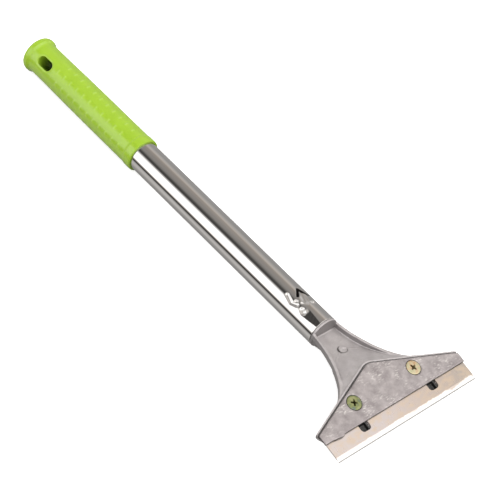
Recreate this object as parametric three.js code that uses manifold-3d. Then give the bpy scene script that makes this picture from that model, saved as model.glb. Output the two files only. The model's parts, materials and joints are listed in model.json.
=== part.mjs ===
// Long-handled algae scraper: a steel tube with a soft grip at one end and a cast aluminium head at
// the other, on which a clamp plate and two screws hold a wide flat blade.
//
// Millimetres, +Z up, as the tool lies on a table with its plate side up. The tube runs along X, the
// blade end is +X, and the grip's flange and the two screw bosses touch Z = 0.
// Two working frames are used. The tube frame has its origin on the tube's axis at the end that meets
// the head: x along the tube, y along the blade, z up. The blade frame shares that origin and is
// turned about y by the head's bend, so its x runs towards the cutting edge and its z out of the plate.

import * as THREE from "three";
import { mergeVertices } from "three/addons/utils/BufferGeometryUtils.js";
import Module from "manifold-3d";

// ---- Handle tube ----
const tubeDiameter = 18;
const tubeWall = 1;
const tubeShowing = 149.8;

// ---- Grip ----
const gripLength = 98.7;
const gripWall = 0.9;
const gripSolidEnd = 27;
const gripRingLength = 6;
const gripRingRise = 0.3;
const gripWaistDrop = 0.25;
const flangeRise = 0.95;
const flangeThickness = 4.4;
const endCrown = 1.6;
const hangSlotLength = 11.6;
const hangSlotWidth = 6.2;
const hangSlotFromEnd = 15.5;
const hangSlotTurn = -47;

// ---- Crimp that holds the tube on the head's spigot ----
const spigotLength = 30;
const crimpFromEnd = 16.3;
const crimpTurn = -8;
const crimpLength = 14;
const crimpWidth = 12;
const crimpDepth = 1.9;

// ---- Head casting ----
const bendAngle = 12.5;
const collarLength = 1.4;
const neckHalfWidth = 8.7;
const neckFlare = 1.45;
const neckStraightShare = 0.41;
const shoulderStraight = 12.5;
const shoulderHalfWidth = 30;
const shoulderSlope = 0.38;
const rimWidth = 1.6;
const rimHeight = 3.4;
const rimSlope = 0.018;
const webHeight = 0.2;
const webRise = 0.4;
const webFall = 0.216;
const webUnderside = -1.1;
const rimFoot = 0;
const footInset = 2.7;
const footSteps = 4;
const noseThickness = 3.2;
const noseReach = 5.9;
const noseCornerCut = 9;
const wingTipThickness = 0.8;
const wingTipTaper = 7;
const wingTipFlat = 1.2;
const lipWidth = 1.1;
const pipDiameter = 4.8;
const pipFromCollar = 14.1;
const pipHeight = 1.3;
const spineEndRadius = 2.4;
const bossDiameter = 9.2;
const bossRibThickness = 3;
const bossRibDepth = 3.6;

// ---- Clamp plate ----
const plateLength = 101.2;
const plateThickness = 1.4;
const plateTop = 14.3;
const plateEndHeight = 5.6;
const plateSlope = 0.387;
const plateApexRadius = 8;
const plateProud = 1;

// ---- Blade ----
const bladeLength = 100;
const bladeWidth = 16.2;
const bladeThickness = 0.8;
const bladeShowing = 10.65;
const bladeEdgeLand = 0.1;
const bevelWidth = 2.8;
const edgeFromTubeEnd = 65.7;
const bladeSlotWidth = 6.5;
const bladeSlotHeight = 7.4;
const bladeSlotFromEdge = 6.3;
const bladeSlotCorner = 2;
const bladeSlotSpacing = 49.6;
const bladeDrift = 0.5;
const pegHeight = 0.9;
const pegLength = 2.6;
const wellDepth = 2.3;

// ---- Clamp screws, M4 countersunk ----
const screwSpacing = 43.1;
const screwFromPlateEdge = 10.9;
const screwHeadDiameter = 8.2;
const screwHeadLand = 0.3;
const screwDiameter = 4;
const screwLength = 12;
const screwSunk = 0.1;
const recessLength = 4.4;
const recessWidth = 0.95;
const recessDepth = 1.3;

// ---- Clearances between pieces ----
const sleeveGap = 0.2;
const endGap = 0.3;
const sideGap = 0.3;
const plateGap = 0.7;
const faceGap = 0.2;
const screwGap = 0.3;

// ---- Sizes that follow from the ones above ----
const tubeRadius = tubeDiameter / 2;
const tubeBore = tubeRadius - tubeWall;
const gripRadius = tubeRadius + sleeveGap + gripWall;
const flangeRadius = gripRadius + flangeRise;
const gripStart = -tubeShowing;
const gripEnd = gripStart - gripLength;
const tubeEnd = gripEnd + gripSolidEnd + endGap;
const spigotRadius = tubeBore - sideGap;
const bend = THREE.MathUtils.degToRad(bendAngle);
const plateUnderside = plateTop - plateThickness;
const bladeTop = plateUnderside - faceGap;
const bladeUnderside = bladeTop - bladeThickness;
const bladeSeat = bladeUnderside - faceGap;
const plateLand = plateUnderside - faceGap;
const ridgeTop = plateTop - plateProud;
const noseUnderside = bladeSeat - noseThickness;
const plateEdge = edgeFromTubeEnd - bladeShowing;
const plateCorner = plateEdge - plateEndHeight;
const bladeBack = edgeFromTubeEnd - bladeWidth;
const slotNear = edgeFromTubeEnd - bladeSlotFromEdge;
const slotFar = slotNear - bladeSlotHeight;
const screwStation = plateEdge - screwFromPlateEdge;
const screwTop = plateTop - screwSunk;
const wingHalf = plateLength / 2 + sideGap;
const collarEnd = endGap + collarLength;
const plateSlantMeet = plateCorner - (plateSlope * plateLength) / 2;
const plateApexStation = plateSlantMeet + plateApexRadius * (Math.hypot(plateSlope, 1) - 1);

// Heights of a plane of the blade frame, read at a station along the tube.
const heightAt = (planeHeight, x) => (planeHeight - x * Math.sin(bend)) / Math.cos(bend);
// Station along the tube of a point of the blade frame.
const stationOf = (s, n) => s * Math.cos(bend) + n * Math.sin(bend);

// ---- Solids ----
const wasm = await Module();
wasm.setup();

function solid(geometry) {
  const bare = geometry.clone();
  bare.deleteAttribute("normal");
  bare.deleteAttribute("uv");
  const merged = mergeVertices(bare, 1e-4);
  return new wasm.Manifold(
    new wasm.Mesh({
      numProp: 3,
      vertProperties: new Float32Array(merged.attributes.position.array),
      triVerts: new Uint32Array(merged.index.array),
    }),
  );
}

function geometryOf(manifold) {
  const mesh = manifold.getMesh();
  const geometry = new THREE.BufferGeometry();
  geometry.setAttribute("position", new THREE.BufferAttribute(new Float32Array(mesh.vertProperties), 3));
  geometry.setIndex(new THREE.BufferAttribute(new Uint32Array(mesh.triVerts), 1));
  geometry.computeVertexNormals();
  return geometry;
}

// A shape drawn in x and y, from z = low to z = high.
function slab(shape, low, high, curveSegments = 12) {
  const geometry = new THREE.ExtrudeGeometry(shape, {
    depth: high - low,
    bevelEnabled: false,
    curveSegments,
  });
  return geometry.translate(0, 0, low);
}

// A side profile drawn as x and height, carried the same distance to both sides in y.
function sideSlab(shape, half, curveSegments = 12) {
  return slab(shape, -half, half, curveSegments).rotateX(Math.PI / 2);
}

// A round body about the x axis. Points are [x, radius].
function turned(points, segments = 48) {
  const profile = points.map(([x, radius]) => new THREE.Vector2(radius, x));
  return new THREE.LatheGeometry(profile, segments).rotateZ(-Math.PI / 2);
}

// A round body about an axis that stands up in z. Points are [radius, z], from the bottom up.
function turnedUpright(points, segments = 32) {
  const profile = points.map(([radius, z]) => new THREE.Vector2(radius, z));
  return new THREE.LatheGeometry(profile, segments).rotateX(Math.PI / 2);
}

function block(xLow, xHigh, yLow, yHigh, zLow, zHigh) {
  const geometry = new THREE.BoxGeometry(xHigh - xLow, yHigh - yLow, zHigh - zLow);
  return geometry.translate((xLow + xHigh) / 2, (yLow + yHigh) / 2, (zLow + zHigh) / 2);
}

// From the blade frame to the tube frame.
const tipped = (geometry) => geometry.rotateY(bend);

// A rectangle with rounded corners.
function roundedRectangle(xLow, xHigh, yLow, yHigh, radius) {
  const shape = new THREE.Shape();
  shape.moveTo(xLow + radius, yLow);
  shape.lineTo(xHigh - radius, yLow);
  shape.absarc(xHigh - radius, yLow + radius, radius, -Math.PI / 2, 0, false);
  shape.lineTo(xHigh, yHigh - radius);
  shape.absarc(xHigh - radius, yHigh - radius, radius, 0, Math.PI / 2, false);
  shape.lineTo(xLow + radius, yHigh);
  shape.absarc(xLow + radius, yHigh - radius, radius, Math.PI / 2, Math.PI, false);
  shape.lineTo(xLow, yLow + radius);
  shape.absarc(xLow + radius, yLow + radius, radius, Math.PI, Math.PI * 1.5, false);
  return shape;
}

// The egg-shaped dent of the crimp, in the tube frame, grown by a distance all round.
function crimpDent(grow) {
  const dent = new THREE.SphereGeometry(1, 28, 18);
  dent.scale(crimpLength / 2 + grow, crimpWidth / 2 + grow, crimpDepth * 1.5 + grow);
  dent.translate(-crimpFromEnd, 0, tubeRadius + crimpDepth / 2);
  return dent.rotateX(THREE.MathUtils.degToRad(-crimpTurn));
}

// ---- Handle tube: bare steel tube, dented onto the spigot near its end ----
function handleTube() {
  const outside = solid(turned([[tubeEnd, 0], [tubeEnd, tubeRadius], [0, tubeRadius], [0, 0]]));
  const inside = solid(
    turned([[tubeEnd - 1, 0], [tubeEnd - 1, tubeBore], [1, tubeBore], [1, 0]]),
  );
  const dentedOutside = outside.subtract(solid(crimpDent(0)));
  const dentedInside = inside.subtract(solid(crimpDent(tubeWall)));
  return dentedOutside.subtract(dentedInside);
}

// ---- Grip: soft moulded sleeve with a solid, flanged end and a hanging slot through that end ----
function gripSleeve() {
  const bore = tubeRadius + sleeveGap;
  const boreEnd = gripEnd + gripSolidEnd;
  const ringRadius = gripRadius + gripRingRise;
  const waistRadius = gripRadius - gripWaistDrop;
  const flangeRound = flangeThickness * 0.3;
  const points = [
    [boreEnd, 0],
    [boreEnd, bore],
    [gripStart, bore],
    [gripStart, ringRadius - 0.5],
    [gripStart - 0.5, ringRadius],
    [gripStart - gripRingLength + 0.8, ringRadius],
    [gripStart - gripRingLength, gripRadius],
    [gripEnd + gripSolidEnd, gripRadius],
    [gripEnd + hangSlotFromEnd, waistRadius],
    [gripEnd + flangeThickness + flangeRise * 1.6, waistRadius],
    [gripEnd + flangeThickness, flangeRadius - flangeRise * 0.3],
    [gripEnd + flangeThickness - flangeRound, flangeRadius],
    [gripEnd + flangeRound, flangeRadius],
    [gripEnd, flangeRadius - flangeRound],
    [gripEnd - endCrown * 0.65, flangeRadius * 0.6],
    [gripEnd - endCrown, flangeRadius * 0.25],
    [gripEnd - endCrown, 0],
  ];
  const body = solid(turned(points.reverse()));
  const slotCentre = gripEnd + hangSlotFromEnd;
  const slotShape = roundedRectangle(
    slotCentre - hangSlotLength / 2,
    slotCentre + hangSlotLength / 2,
    -hangSlotWidth / 2,
    hangSlotWidth / 2,
    hangSlotWidth / 2 - 0.01,
  );
  const slot = slab(slotShape, -flangeRadius - 2, flangeRadius + 2, 8);
  slot.rotateX(THREE.MathUtils.degToRad(-hangSlotTurn));
  return body.subtract(solid(slot));
}

// Half outline of the head from the collar to the shoulder, as points of a smooth concave curve.
const tipStation = stationOf(plateCorner, ridgeTop) - 1.6;
const shoulderStation = tipStation - shoulderSlope * (wingHalf - shoulderHalfWidth);
const slantLength = Math.hypot(shoulderSlope, 1);
const neckCurve = new THREE.CubicBezierCurve(
  new THREE.Vector2(collarEnd - 0.6, neckHalfWidth),
  new THREE.Vector2(shoulderStation * neckStraightShare, neckHalfWidth + neckFlare),
  new THREE.Vector2(
    shoulderStation - (shoulderStraight * shoulderSlope) / slantLength,
    shoulderHalfWidth - shoulderStraight / slantLength,
  ),
  new THREE.Vector2(shoulderStation, shoulderHalfWidth),
);

// The neck curve moved inwards by a distance, as points.
function neckPoints(inset, count = 18) {
  const points = [];
  for (let i = 0; i <= count; i += 1) {
    const point = neckCurve.getPoint(i / count);
    const tangent = neckCurve.getTangent(i / count);
    points.push(new THREE.Vector2(point.x + tangent.y * inset, point.y - tangent.x * inset));
  }
  return points;
}

const mirrored = (points) => points.map((p) => new THREE.Vector2(p.x, -p.y)).reverse();

// Outline of the clamp plate in the blade frame, grown outwards by a distance.
function plateOutline(grow) {
  const half = plateLength / 2 + grow;
  const slant = Math.hypot(plateSlope, 1);
  const corner = plateCorner - grow * slant + grow * plateSlope;
  const radius = plateApexRadius + grow;
  const turn = Math.atan(plateSlope);
  const centre = plateApexStation + plateApexRadius;
  const shape = new THREE.Shape();
  shape.moveTo(plateEdge + grow, -half);
  shape.lineTo(plateEdge + grow, half);
  shape.lineTo(corner, half);
  shape.absarc(centre, 0, radius, Math.PI - turn, Math.PI + turn, false);
  shape.lineTo(corner, -half);
  shape.closePath();
  return shape;
}

// Room for one screw, head and shank, at the blade frame's origin.
function screwRoom() {
  const headRadius = screwHeadDiameter / 2 + screwGap;
  const shankRadius = screwDiameter / 2 + screwGap;
  const coneEnd = screwTop - screwHeadLand - (headRadius - shankRadius);
  return turnedUpright([
    [0, screwTop - screwLength - screwGap],
    [shankRadius, screwTop - screwLength - screwGap],
    [shankRadius, coneEnd],
    [headRadius, screwTop - screwHeadLand],
    [headRadius, plateTop + 3],
    [0, plateTop + 3],
  ]);
}

const screwPlaces = [-screwSpacing / 2, screwSpacing / 2];
const slotPlaces = [-bladeSlotSpacing / 2, bladeSlotSpacing / 2];

// ---- Head: die-cast fan with a collar and spigot for the tube, a stepped seat for blade and plate ----
function scraperHead() {
  const noseStation = stationOf(plateEdge + noseReach, bladeSeat);
  const halfPlan = [
    ...neckPoints(0),
    new THREE.Vector2(tipStation, wingHalf),
    new THREE.Vector2(tipStation + wingTipFlat, wingHalf),
    new THREE.Vector2(noseStation, wingHalf - noseCornerCut),
  ];
  const plan = new THREE.Shape([...halfPlan, ...mirrored(halfPlan)]);
  const crest = (heightAt(ridgeTop, 0) - rimHeight) / (rimSlope + Math.tan(bend));
  const backEnd = (heightAt(noseUnderside, 0) - webUnderside) / Math.tan(bend);
  const rimTop = (x) => rimHeight + rimSlope * x;
  const side = new THREE.Shape();
  side.moveTo(collarEnd - 0.6, webUnderside);
  side.lineTo(backEnd, webUnderside);
  side.lineTo(noseStation + 1, heightAt(noseUnderside, noseStation + 1));
  side.lineTo(noseStation + 1, heightAt(ridgeTop, noseStation + 1));
  side.lineTo(crest / 2, heightAt(ridgeTop, crest / 2));
  side.lineTo(crest / 2, rimTop(crest / 2));
  side.lineTo(collarEnd - 0.6, rimTop(0));
  side.closePath();
  let head = solid(slab(plan, -40, 40)).intersect(solid(sideSlab(side, wingHalf + 5)));

  // Web: a flat floor near the collar, then two planes that climb to the lip round the plate.
  const inner = neckPoints(rimWidth).filter((p) => p.x > collarEnd);
  inner.unshift(new THREE.Vector2(collarEnd, inner[0].y - 0.1));
  const webPlan = new THREE.Shape([...inner, ...mirrored(inner)]);
  const lip = solid(tipped(slab(plateOutline(plateGap + lipWidth), -10, 40)));
  const lipApex = plateApexStation - plateGap - lipWidth;
  const roofShape = new THREE.Shape();
  roofShape.moveTo(0, 0);
  roofShape.lineTo(-60, -60 * webFall);
  roofShape.lineTo(-60, -60);
  roofShape.lineTo(60, -60);
  roofShape.lineTo(60, -60 * webFall);
  roofShape.closePath();
  const roof = slab(roofShape, -60, 40).rotateX(Math.PI / 2).rotateZ(Math.PI / 2);
  roof.rotateY(-Math.atan(webRise));
  roof.translate(stationOf(lipApex, ridgeTop), 0, heightAt(ridgeTop, stationOf(lipApex, ridgeTop)));
  const overWeb = solid(slab(webPlan, webHeight, 30)).subtract(solid(roof)).subtract(lip);
  const rimSide = new THREE.Shape();
  rimSide.moveTo(collarEnd - 1, rimTop(collarEnd - 1));
  rimSide.lineTo(crest, rimTop(crest));
  rimSide.lineTo(crest, 30);
  rimSide.lineTo(collarEnd - 1, 30);
  rimSide.closePath();
  const overRims = solid(sideSlab(rimSide, wingHalf)).subtract(solid(slab(webPlan, -20, 40))).subtract(lip);
  head = head.subtract(overWeb).subtract(overRims);

  // The underside steps in and down from the rims' feet to the web.
  for (let step = 1; step <= footSteps; step += 1) {
    const below = neckPoints((footInset * step) / footSteps).filter((p) => p.x > collarEnd);
    const belowPlan = new THREE.Shape([...below, ...mirrored(below)]);
    const level = rimFoot + ((webUnderside - rimFoot) * (step - 1)) / footSteps;
    const underRims = solid(block(collarEnd + 0.2, backEnd, -wingHalf, wingHalf, -20, level));
    head = head.subtract(underRims.subtract(solid(slab(belowPlan, -30, 10))));
  }

  // Collar and spigot on the tube's axis, and the half-round spine under the web.
  const crown = turned([
    [-spigotLength, 0],
    [-spigotLength, spigotRadius - 0.8],
    [-spigotLength + 0.8, spigotRadius],
    [endGap, spigotRadius],
    [endGap, tubeRadius],
    [collarEnd, tubeRadius],
    [collarEnd, 0],
  ]);
  const crimpRoom = crimpDent(tubeWall + sideGap);
  const spineCone = turned([
    [collarEnd - 0.5, 0],
    [collarEnd - 0.5, tubeRadius - 0.4],
    [crest, spineEndRadius],
    [crest, 0],
  ]);
  const aboveSpine = block(-5, crest + 5, -30, 30, webUnderside + 0.4, 30);
  const spine = solid(spineCone).subtract(solid(aboveSpine));
  head = head.add(solid(crown).subtract(solid(crimpRoom))).add(spine);

  // Round pip on the web.
  const pip = turnedUpright([
    [0, webUnderside + 0.4],
    [pipDiameter / 2, webUnderside + 0.4],
    [pipDiameter / 2, webHeight + pipHeight - 0.2],
    [pipDiameter / 2 - 0.2, webHeight + pipHeight],
    [0, webHeight + pipHeight],
  ]);
  head = head.add(solid(pip.translate(collarEnd + pipFromCollar, 0, 0)));

  // Seat: the plate's pocket, and one step lower the blade's.
  head = head.subtract(solid(tipped(slab(plateOutline(plateGap), plateLand, plateTop + 10))));
  head = head.subtract(
    solid(tipped(block(bladeBack - sideGap, 120, -wingHalf - 5, wingHalf + 5, bladeSeat, plateTop + 10))),
  );

  // The underside thins towards both wing tips.
  for (const sign of [-1, 1]) {
    const cut = new THREE.Shape();
    cut.moveTo(sign * (wingHalf + 2), bladeSeat - wingTipThickness);
    cut.lineTo(sign * wingHalf, bladeSeat - wingTipThickness);
    cut.lineTo(sign * (wingHalf - wingTipTaper), noseUnderside);
    cut.lineTo(sign * (wingHalf - wingTipTaper), noseUnderside - 8);
    cut.lineTo(sign * (wingHalf + 2), noseUnderside - 8);
    cut.closePath();
    const wedge = slab(cut, 0, 60).rotateX(Math.PI / 2).rotateZ(Math.PI / 2).translate(20, 0, 0);
    head = head.subtract(solid(tipped(wedge)));
  }

  // Bosses that take the screws, cut level with the grip's flange so that the tool lies flat.
  const bossFoot = -flangeRadius;
  for (const place of screwPlaces) {
    const boss = turnedUpright([
      [0, noseUnderside - 20],
      [bossDiameter / 2, noseUnderside - 20],
      [bossDiameter / 2, noseUnderside + 0.8],
      [0, noseUnderside + 0.8],
    ]);
    head = head.add(
      solid(tipped(boss.translate(screwStation, place, 0))).subtract(
        solid(block(-20, 120, -80, 80, bossFoot - 40, bossFoot)),
      ),
    );
  }
  const rib = block(
    screwStation - bossRibThickness / 2,
    screwStation + bossRibThickness / 2,
    -screwSpacing / 2,
    screwSpacing / 2,
    noseUnderside - bossRibDepth,
    noseUnderside + 0.6,
  );
  head = head.add(solid(tipped(rib)));

  // Screw holes, blade pegs, and the wells under the blade's slots.
  for (const place of screwPlaces) {
    head = head.subtract(solid(tipped(screwRoom().translate(screwStation, place, 0))));
  }
  for (const place of slotPlaces) {
    const pegHalf = bladeSlotWidth / 2 - sideGap - bladeDrift;
    const pegBack = slotFar + sideGap;
    const peg = roundedRectangle(
      pegBack,
      pegBack + pegLength,
      place - pegHalf,
      place + pegHalf,
      bladeSlotCorner - sideGap - 0.5,
    );
    head = head.add(solid(tipped(slab(peg, bladeSeat - 0.4, bladeSeat + pegHeight, 6))));
    const well = block(
      pegBack + pegLength,
      slotNear,
      place - pegHalf,
      place + pegHalf,
      bladeSeat - wellDepth,
      bladeSeat + 1,
    );
    head = head.subtract(solid(tipped(well)));
  }
  return head;
}

// ---- Clamp plate: flat cast pentagon with a rounded apex, countersunk for two screws ----
function clampPlate() {
  let plate = solid(slab(plateOutline(0), plateUnderside, plateTop, 8));
  for (const place of screwPlaces) {
    plate = plate.subtract(solid(screwRoom().translate(screwStation, place, 0)));
  }
  const geometry = geometryOf(plate);
  return solid(tipped(geometry));
}

// ---- Blade: flat steel, ground to an edge on its plate side, with two slots that drop over the pegs ----
function blade() {
  const section = new THREE.Shape();
  section.moveTo(bladeBack, bladeUnderside);
  section.lineTo(edgeFromTubeEnd, bladeUnderside);
  section.lineTo(edgeFromTubeEnd, bladeUnderside + bladeEdgeLand);
  section.lineTo(edgeFromTubeEnd - bevelWidth, bladeTop);
  section.lineTo(bladeBack, bladeTop);
  section.closePath();
  let body = solid(sideSlab(section, bladeLength / 2).translate(0, bladeDrift, 0));
  for (const place of slotPlaces) {
    const slot = roundedRectangle(
      slotFar,
      slotNear,
      place + bladeDrift - bladeSlotWidth / 2,
      place + bladeDrift + bladeSlotWidth / 2,
      bladeSlotCorner,
    );
    body = body.subtract(solid(slab(slot, bladeUnderside - 2, bladeTop + 2, 6)));
  }
  return solid(tipped(geometryOf(body)));
}

// ---- Clamp screw: countersunk head with a cross recess, and a plain shank for the threads ----
function clampScrew(place) {
  const headRadius = screwHeadDiameter / 2;
  const shankRadius = screwDiameter / 2;
  let screw = solid(
    turnedUpright([
      [0, screwTop - screwLength],
      [shankRadius - 0.5, screwTop - screwLength],
      [shankRadius, screwTop - screwLength + 0.5],
      [shankRadius, screwTop - screwHeadLand - (headRadius - shankRadius)],
      [headRadius, screwTop - screwHeadLand],
      [headRadius, screwTop],
      [0, screwTop],
    ]),
  );
  for (const turn of [0, Math.PI / 2]) {
    const arm = block(
      -recessLength / 2,
      recessLength / 2,
      -recessWidth / 2,
      recessWidth / 2,
      screwTop - recessDepth,
      screwTop + 1,
    );
    screw = screw.subtract(solid(arm.rotateZ(turn + Math.PI / 5)));
  }
  return solid(tipped(geometryOf(screw).translate(screwStation, place, 0)));
}

// ---- Assembly ----
const bladeTip = stationOf(edgeFromTubeEnd, bladeUnderside + bladeEdgeLand);
const lengthMiddle = (gripEnd - endCrown + bladeTip) / 2;
const tool = new THREE.Group();

function addPiece(name, manifold, color, roughness, metalness) {
  const material = new THREE.MeshStandardMaterial({ color, roughness, metalness });
  const mesh = new THREE.Mesh(geometryOf(manifold), material);
  mesh.name = name;
  mesh.position.set(-lengthMiddle, 0, flangeRadius);
  tool.add(mesh);
}

addPiece("grip_sleeve", gripSleeve(), 0xacd842, 0.5, 0);
addPiece("handle_tube", handleTube(), 0xc9c7c5, 0.14, 1);
addPiece("scraper_head", scraperHead(), 0xb4aba6, 0.5, 0.85);
addPiece("clamp_plate", clampPlate(), 0xb2aaa6, 0.55, 0.8);
addPiece("blade", blade(), 0xdccdc0, 0.22, 1);
addPiece("clamp_screw_left", clampScrew(screwPlaces[1]), 0xd9cfa0, 0.35, 0.9);
addPiece("clamp_screw_right", clampScrew(screwPlaces[0]), 0xc5c988, 0.35, 0.9);

export default tool;
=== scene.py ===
import json
import math

import bmesh
import bpy
import numpy as np
from mathutils import Matrix, Vector


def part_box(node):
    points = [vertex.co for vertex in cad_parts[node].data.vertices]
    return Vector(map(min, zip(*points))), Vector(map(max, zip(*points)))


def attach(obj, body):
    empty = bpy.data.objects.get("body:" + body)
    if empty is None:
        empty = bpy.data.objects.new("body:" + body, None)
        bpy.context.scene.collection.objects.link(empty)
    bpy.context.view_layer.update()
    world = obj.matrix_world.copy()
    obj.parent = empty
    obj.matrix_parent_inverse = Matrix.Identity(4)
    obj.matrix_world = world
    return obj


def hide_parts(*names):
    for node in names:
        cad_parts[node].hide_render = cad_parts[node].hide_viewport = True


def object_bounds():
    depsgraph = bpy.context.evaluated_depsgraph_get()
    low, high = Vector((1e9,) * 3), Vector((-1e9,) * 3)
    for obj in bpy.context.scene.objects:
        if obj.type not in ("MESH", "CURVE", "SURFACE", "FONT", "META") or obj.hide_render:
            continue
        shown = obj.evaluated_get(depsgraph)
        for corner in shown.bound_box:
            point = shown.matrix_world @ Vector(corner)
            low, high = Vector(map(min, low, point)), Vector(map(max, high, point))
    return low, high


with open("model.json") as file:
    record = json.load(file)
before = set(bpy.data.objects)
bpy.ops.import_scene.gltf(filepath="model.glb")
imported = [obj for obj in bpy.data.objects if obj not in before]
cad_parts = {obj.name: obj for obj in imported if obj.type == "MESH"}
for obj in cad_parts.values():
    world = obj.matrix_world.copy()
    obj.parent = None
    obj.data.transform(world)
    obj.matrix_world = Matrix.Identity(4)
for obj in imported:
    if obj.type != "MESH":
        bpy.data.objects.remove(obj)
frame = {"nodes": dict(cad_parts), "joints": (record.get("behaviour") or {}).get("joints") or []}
cad_low, cad_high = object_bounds()

# ---- Table, light and camera ----
# The tool lies plate side up on a white table in a light tent. The bright steel mirrors the tent, so
# its panels are bands round the tube's axis, with a strip at each side and a panel over the blade's
# end. Two wide lamps light the dull pieces.
MM = 0.001
TENT_BANDS = [  # degrees from straight up, towards the tool's left; brightness; warmth
    (-180, 0.30, 0.02),
    (-159, 0.42, 0.04),
    (-146, 0.56, 0.04),
    (-130, 0.74, 0.04),
    (-117, 0.48, 0.02),
    (-111, 0.05, 0.10),
    (-103, 0.04, 0.10),
    (-97, 0.70, 0.14),
    (-90, 1.90, 0.00),
    (-48, 1.90, 0.00),
    (-39, 0.62, 0.02),
    (-32, 0.06, 0.06),
    (-20, 0.09, 0.06),
    (-12, 0.24, 0.08),
    (-2, 0.34, 0.08),
    (16, 0.37, 0.14),
    (29, 0.40, 0.22),
    (40, 0.62, 0.16),
    (52, 0.57, 0.06),
    (62, 0.47, 0.03),
    (80, 0.41, 0.03),
    (140, 0.40, 0.02),
    (180, 0.30, 0.02),
]
TENT_BRIGHTEST = 2.0
SIDE_STRIPS = [  # the same, added at the blade's end
    (-180, 0.20, 0.01),
    (-140, 0.04, 0.01),
    (-100, 0.12, 0.01),
    (-88, 0.24, 0.01),
    (-80, 1.24, 0.01),
    (-64, 1.24, 0.01),
    (-58, 0.20, 0.01),
    (-30, 0.0, 0.01),
    (50, 0.0, 0.01),
    (62, 0.16, 0.01),
    (68, 1.00, 0.01),
    (78, 1.00, 0.01),
    (86, 0.20, 0.01),
    (140, 0.06, 0.01),
    (180, 0.20, 0.01),
]
BLADE_END_PANEL = [(0.02, (0.42, 0.40, 0.38)), (0.32, (0.90, 0.89, 0.87))]
PANEL_OVERHEAD = (0.35, 0.78)
BLADE_END_DARK = (0.07, 0.066, 0.062)
BLADE_END_FADE = (-0.38, -0.10)
GRIP_END_GREY = (0.33, 0.32, 0.31)
GRIP_END_FADE = (-0.50, -0.72)
BACKDROP_BRIGHT = 1.05
TABLE_SIZE = 6.0
TABLE_BELOW = 0.2
CAMERA_LENS = 127.887
CAMERA_FROM_TUBE_END = (345.864, -531.986, 673.076)
CAMERA_TURN = (43.9767, -11.2364, 48.7457)

tube_low, tube_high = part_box("handle_tube")
TUBE_END = Vector((tube_high.x, 0, (tube_low.z + tube_high.z) / 2))


def wire(tree, source, target):
    """Joins two sockets of a node tree."""
    tree.links.new(source, target)


def bench(name, size, height):
    """A flat square of table top."""
    bm = bmesh.new()
    bmesh.ops.create_grid(bm, x_segments=8, y_segments=8, size=size / 2)
    bmesh.ops.translate(bm, verts=bm.verts, vec=(0, 0, height))
    mesh = bpy.data.meshes.new(name)
    bm.to_mesh(mesh)
    bm.free()
    top = bpy.data.objects.new(name, mesh)
    bpy.context.scene.collection.objects.link(top)
    return top


table = bench("table_top", TABLE_SIZE, cad_low.z - TABLE_BELOW * MM)
table.visible_glossy = False
table.visible_diffuse = False
table_paint = bpy.data.materials.new("white_table")
table_paint.use_nodes = True
table_shader = table_paint.node_tree.nodes["Principled BSDF"]
table_shader.inputs["Base Color"].default_value = (0.86, 0.86, 0.86, 1)
table_shader.inputs["Roughness"].default_value = 0.9
table_shader.inputs["Specular IOR Level"].default_value = 0.1
table_shader.inputs["Emission Color"].default_value = (1, 1, 1, 1)
table_shader.inputs["Emission Strength"].default_value = 0.65
table.data.materials.append(table_paint)


def ramp(owner, value, stops):
    """Colours, linear, against a value: a list of (value, (red, green, blue))."""
    tree = owner.node_tree
    node = tree.nodes.new("ShaderNodeValToRGB")
    wire(tree, value, node.inputs[0])
    elements = node.color_ramp.elements
    while len(elements) > 1:
        elements.remove(elements[-1])
    for number, (at, colour) in enumerate(stops):
        element = elements[0] if number == 0 else elements.new(at)
        element.position = at
        element.color = (*colour, 1)
    return node.outputs[0]


def spread(owner, value, low, high, start=0.0, stop=1.0, shape="LINEAR"):
    """A value taken from one range to another."""
    tree = owner.node_tree
    node = tree.nodes.new("ShaderNodeMapRange")
    node.interpolation_type = shape
    node.inputs["From Min"].default_value = start
    node.inputs["From Max"].default_value = stop
    node.inputs["To Min"].default_value = low
    node.inputs["To Max"].default_value = high
    wire(tree, value, node.inputs["Value"])
    return node.outputs[0]


def calculate(owner, how, first, second):
    """Two values worked into one, such as their product."""
    tree = owner.node_tree
    node = tree.nodes.new("ShaderNodeMath")
    node.operation = how
    wire(tree, first, node.inputs[0])
    wire(tree, second, node.inputs[1])
    return node.outputs[0]


def mix_colour(owner, amount, first, second, how="MIX"):
    """One colour over another by an amount. Each is a socket or plain numbers."""
    tree = owner.node_tree
    node = tree.nodes.new("ShaderNodeMix")
    node.data_type = "RGBA"
    node.blend_type = how
    if isinstance(amount, float):
        node.inputs["Factor"].default_value = amount
    else:
        wire(tree, amount, node.inputs["Factor"])
    for value, socket in ((first, "A"), (second, "B")):
        if isinstance(value, tuple):
            node.inputs[socket].default_value = (*value, 1)
        else:
            wire(tree, value, node.inputs[socket])
    return node.outputs["Result"]


def tent_stops(bands):
    """Stops of a ramp that runs once round the tool, from (degrees, brightness, warmth)."""
    stops = []
    for angle, bright, warmth in bands:
        level = bright / TENT_BRIGHTEST
        stops.append(((angle + 180) / 360, (level * (1 + warmth / 2), level, level * (1 - warmth / 2))))
    return stops


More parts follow.
